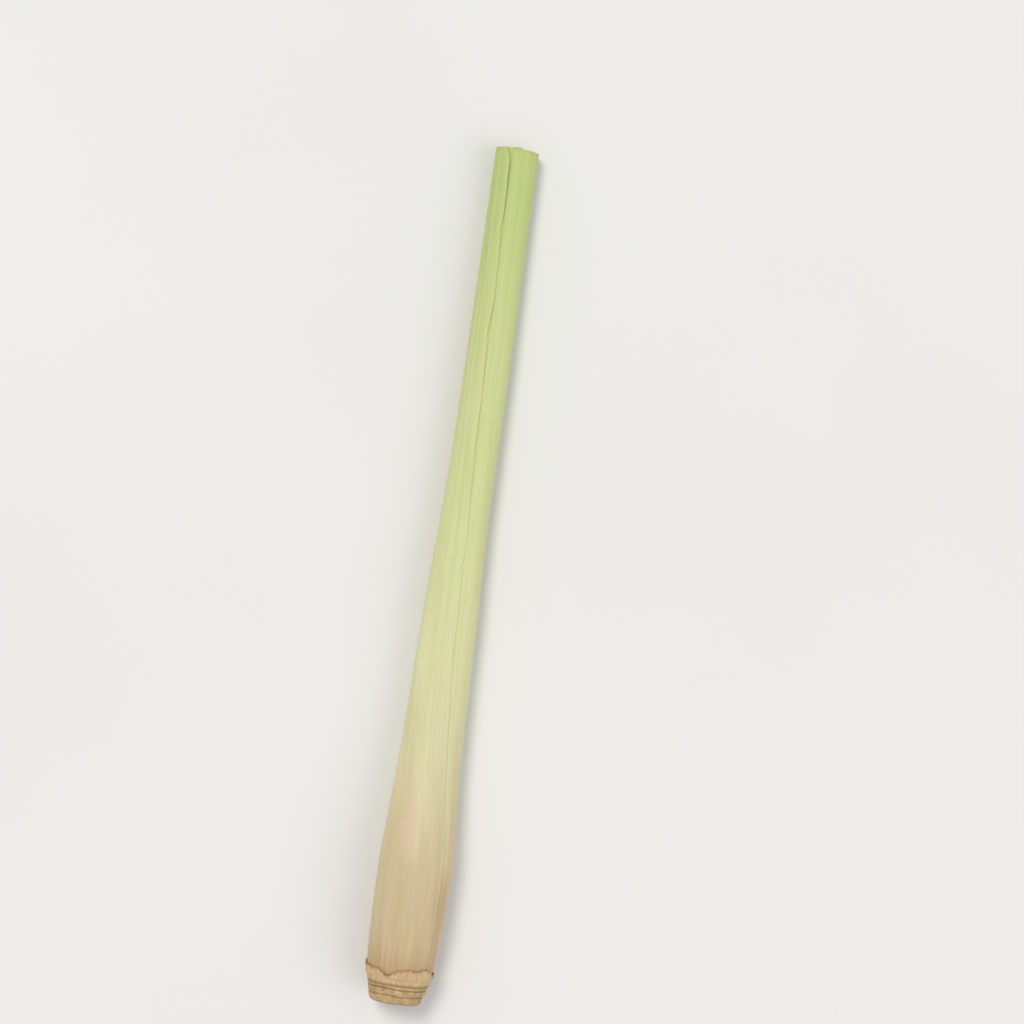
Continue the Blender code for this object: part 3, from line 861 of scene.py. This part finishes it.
def foot(n, materials):
    """The stripped sheath's torn foot, closed all round."""
    turns = np.arange(n) / n
    a = 2 * math.pi * turns
    tear = 0.6 * np.sin(3 * a + 0.6) + 0.4 * np.sin(7 * a + 1.9)
    shred = 0.55 * field(turns, 5.0, 46, 9.0, 301) + 0.45 * field(turns, 5.0, 130, 9.0, 302)
    top = FOOT_TOP - 0.35 + FOOT_TEAR * tear + 0.62 * shred
    ledge = SHEATHS[0][1]
    grid_out, grid_in, height, torn = [], [], [], []
    shares = np.linspace(0, 1, 20)
    for share in shares:
        s = FOOT_BOTTOM + (top - FOOT_BOTTOM) * share
        w = along(HALF_WIDTH, s)
        h = w * along(HEIGHT_SHARE, s)
        ang = twist(s) + a
        base = w * h / np.hypot(h * np.cos(ang), w * np.sin(ang))
        base = base * (1 + 0.007 * field(turns, s, 7, 26.0, 11) + 0.0035 * field(turns, s, 13, 9.0, 12))
        swell = smooth((s - (ledge - 0.9)) / 0.8)
        curl = 0.10 * np.maximum(0, field(turns, 8.0, 17, 9.0, 303)) * smooth((share - 0.55) / 0.45)
        ribs = 0.045 * np.cos(2 * math.pi * turns * 84 + 2.0 * field(turns, s, 40, 3.0, 304))
        ribs = ribs + 0.03 * field(turns, s, 150, 1.2, 305)
        thick_rim = 1 - 0.55 * smooth((share - 0.5) / 0.5)
        out = 0.10 * smooth(share / 0.12) - 0.06 + 0.26 * swell + curl + ribs
        back = (-FOOT_THICK + 0.02) * (1 - swell) + (GAP + 0.05) * swell + curl * 0.9
        back = np.minimum(back, out - 0.12 * thick_rim - 0.03)
        grid_out.append(place(ang, s, base + out))
        grid_in.append(place(ang, s, base + back))
        height.append(s)
        torn.append(top - s)
    outer, inner = np.array(grid_out), np.array(grid_in)[::-1]
    rim = np.concatenate([outer, inner])
    rows = rim.shape[0]
    values = {
        "along": np.concatenate([np.array(height), np.array(height)[::-1]]).ravel(),
        "edge": np.concatenate([np.array(torn), np.array(torn)[::-1]]).ravel(),
        "across": rim[..., 0].ravel(), "up": rim[..., 2].ravel(),
    }  # fmt: skip
    nxt = np.roll(np.arange(n), -1)
    faces = []
    for row in range(rows):
        up = (row + 1) % rows
        quad = np.stack([row * n + np.arange(n), row * n + nxt, up * n + nxt, up * n + np.arange(n)], -1)
        faces.extend(quad[:, ::-1].tolist())
    return make("stripped_sheath_foot_skin", rim.reshape(-1, 3), faces, [0] * len(faces), materials,
                values, "stripped_sheath_foot")  # fmt: skip


def heart(per_turn, heights, levels, materials):
    """The youngest leaf, rolled up on itself."""
    steps = HEART_TURNS * per_turn
    s = heights
    n = 168
    room = outsides(s, n, len(SHEATHS))
    j = np.arange(steps + 1)
    column = (n * j / per_turn) % n
    low = np.floor(column).astype(int) % n
    here = np.minimum(room[:, low], room[:, (low + 1) % n]) - 0.02
    pitch = here * 0.90 / HEART_TURNS
    r = here - pitch * (j / per_turn)[None, :]
    taper = smooth(np.minimum(j, steps - j) / (0.25 * per_turn))[None, :]
    thick = (pitch - GAP * 0.8) * (0.40 + 0.60 * taper)
    rows = s[:, None]
    ribs = 0.012 * np.cos(2 * math.pi * j / per_turn * 22)[None, :]
    outer = r + ribs * taper
    inner = np.maximum(r - thick, 0.03)
    angle = twist(rows) + 2 * math.pi * (column / n)[None, :]
    out = 0.55 * smooth((rows - (LENGTH - 4.0)) / 4.0) + 0.05 * field(j / steps, 40.0, 30, 9.0, 400)[None, :] * (rows > LENGTH - 0.5)
    top = place(angle, rows, outer, out)
    few = slice(0, None, 2)
    inn = place(angle[:, few], rows, inner[:, few], out[:, few])
    rise = lambda share, c: 0.03 * math.sin(math.pi * share) + 0.0 * c  # noqa: E731
    caps = [
        end_cap(top[0], inn[0], 2, [], None),
        end_cap(top[-1], inn[-1], 2, levels, rise),
    ]
    one, small = np.ones_like(outer), np.ones_like(inner[:, few])
    veins = (j / per_turn * 22)[None, :] * one
    values = {"along": [one * rows, small * rows], "around": [veins, veins[:, few]],
              "edge": [9 * one, 9 * small], "rib": [0 * one, 0 * small],
              "depth": [0 * one, small]}  # fmt: skip
    for share in levels:
        flat = np.ones(steps + 1)
        for key, x in (("along", s[-1]), ("around", veins[-1]), ("edge", 9.0),
                       ("rib", 0.0), ("depth", share)):  # fmt: skip
            values[key].append(flat * x)
    values = {key: np.concatenate([np.ravel(x) for x in v]) for key, v in values.items()}
    return band("heart_leaf_skin", top, inn, 2, caps, materials, values, "heart_leaf",
                True)  # fmt: skip


# ------------------------------------------------------------------------------ assembly
def build():
    outer_skin = skin_material(
        "outer_leaf_skin",
        1.0,
        [
            (13.2, 35.5, 3.4, 8.5, 0.62, srgb(226, 194, 169)),  # a pink blush
            (20.5, 44.0, 3.4, 8.5, 0.60, srgb(241, 216, 168)),  # a creamy edge: a painted reflection, warm pale light on the left edge
            (24.0, 21.0, 9.0, 12.0, 0.60, srgb(212, 199, 158)),  # cream beside it
            (8.0, 24.5, 6.0, 12.5, 0.55, srgb(206, 182, 148)),  # pinkish tan
            (-1.0, 17.0, 5.0, 12.0, 0.72, srgb(193, 163, 120)),  # tan, towards the margin
            (71.0, 17.0, 7.0, 12.0, 0.72, srgb(193, 163, 120)),  # and beyond it
            (15.5, 68.0, 5.0, 13.0, 0.60, srgb(238, 236, 188)),  # a pale stripe: painted light, the lit left side made paler
            (61.0, 97.0, 6.0, 24.0, 0.42, srgb(209, 205, 147)),  # a yellower side: a painted reflection, warm light on the right edge
            (2.5, 101.0, 3.5, 9.0, 0.50, srgb(198, 208, 134)),  # green by the margin
            (7.0, 116.0, 4.5, 9.0, 0.40, srgb(222, 221, 170)),  # and paler above it
        ],
    )
    inner_skin = skin_material("inner_leaf_skin", 0.55)
    lining = lining_material("leaf_lining")
    outer_cut = cut_material("outer_leaf_cut", srgb(170, 184, 104), srgb(226, 226, 178),
                             srgb(178, 176, 106))
    inner_cut = cut_material("inner_leaf_cut", srgb(188, 202, 112), srgb(234, 234, 186),
                             srgb(190, 190, 118))
    levels = [0.22, 0.5, 0.78]
    fine = spots((5.4, 9.0, 0.45), (9.0, 30.0, 1.5), (30.0, 136.0, 1.7), (136.0, 158.0, 1.2),
                 (158.0, 164.0, 0.6), (164.0, 165.0, 0.25))  # fmt: skip
    torn = [np.linspace(at - 0.5, at + 0.3, 5) for at, _, _ in TEARS]
    fine = np.unique(np.round(np.concatenate([fine] + torn), 2))
    sheath(0, 28 * 16, 4, fine, levels, [outer_skin, lining, outer_cut])
    for k in range(1, 6):
        start = SHEATHS[k][1]
        heights = spots((start, start + 3, 1.0), (start + 3, 60.0, 4.0), (60.0, 140.0, 4.5),
                        (140.0, 162.0, 2.2), (162.0, 164.4, 0.6), (164.4, 165.0, 0.2))  # fmt: skip
        sheath(k, 28 * 7, 1, heights, levels, [inner_skin, lining, inner_cut])  # fmt: skip
    heights = spots((HEART_START, 140.0, 5.0), (140.0, 162.0, 2.2), (162.0, 165.0, 0.5))
    heart(44, heights, [0.3, 0.7], [inner_skin, lining, inner_cut])
    crown(320, [wood_material("crown_rind"), end_grain_material("crown_end_grain")])
    foot(640, [dry_material("dry_leaf_base")])


build()


# ------------------------------------------------------------------------------- studio
def studio():
    scene = bpy.context.scene
    scene.view_settings.view_transform = "Standard"
    scene.view_settings.look = "None"

    size = 18.0
    mesh = bpy.data.meshes.new("table_top")
    cells = 72
    line = np.linspace(-size / 2, size / 2, cells + 1)
    points = [(x, y, 0.0) for y in line for x in line]
    faces = [
        (r * (cells + 1) + c, r * (cells + 1) + c + 1, (r + 1) * (cells + 1) + c + 1, (r + 1) * (cells + 1) + c)
        for r in range(cells)
        for c in range(cells)
    ]
    mesh.from_pydata(points, [], faces)
    floor = bpy.data.objects.new("table_top", mesh)
    scene.collection.objects.link(floor)
    n = Net("pale_table")
    coordinates = n.tree.nodes.new("ShaderNodeTexCoord").outputs["Object"]
    cloud = n.noise(coordinates, 9.0, 3.0, 0.5)
    mesh.materials.append(
        n.done(n.ramp(cloud, [(0.3, (0.80, 0.79, 0.765, 1)), (0.7, (0.83, 0.82, 0.80, 1))]), 0.75)
    )

    world = bpy.data.worlds.new("studio")
    world.use_nodes = True
    tree = world.node_tree
    # as pale as the floor at the skyline, and an even soft light above it
    split = tree.nodes.new("ShaderNodeSeparateXYZ")
    tree.links.new(tree.nodes.new("ShaderNodeTexCoord").outputs["Generated"], split.inputs[0])
    ramp = tree.nodes.new("ShaderNodeValToRGB")
    tree.links.new(split.outputs["Z"], ramp.inputs[0])
    ramp.color_ramp.interpolation = "EASE"
    ramp.color_ramp.elements[0].position, ramp.color_ramp.elements[1].position = 0.02, 0.12
    ramp.color_ramp.elements[0].color = (0.835, 0.830, 0.815, 1.0)
    ramp.color_ramp.elements[1].color = (0.5225, 0.5335, 0.55, 1.0)
    tree.links.new(ramp.outputs[0], tree.nodes["Background"].inputs["Color"])
    tree.nodes["Background"].inputs["Strength"].default_value = 1.0
    scene.world = world

    def lamp(name, at, spread, power, colour):
        # a wide soft source far away, so that the floor is lit evenly to its edges
        data = bpy.data.lights.new(name, "SUN")
        data.angle, data.energy, data.color = math.radians(spread), power, colour
        ob = bpy.data.objects.new(name, data)
        ob.location = at
        ob.rotation_euler = Vector(at).to_track_quat("Z", "Y").to_euler()
        scene.collection.objects.link(ob)

    lamp("key", (-0.22, 0.28, 0.71), 21.0, 1.30, (1.0, 0.978, 0.935))
    lamp("fill", (0.52, -0.12, 0.55), 42.0, 0.62, (0.97, 0.985, 1.0))

    # the photograph's frame, 196.2 mm across, with the stalk at its own place and tilt
    tilt = math.radians(8.24)
    data = bpy.data.cameras.new("camera")
    data.lens, data.sensor_width = 120.0, 36.0
    data.clip_start, data.clip_end = 0.01, 20.0
    camera = bpy.data.objects.new("camera", data)
    right = Vector((math.cos(tilt), math.sin(tilt), 0.0))
    up = Vector((-math.sin(tilt), math.cos(tilt), 0.0))
    px = 0.1916 * MM
    spot = right * (512 - 456.4) * px + up * (575 - 512) * px
    away = 0.0065 + 1024 * px * data.lens / data.sensor_width
    camera.location = spot + Vector((-0.25 * MM, 0.0, away))
    camera.rotation_euler = (0.0, 0.0, tilt)
    scene.collection.objects.link(camera)
    scene.camera = camera


studio()
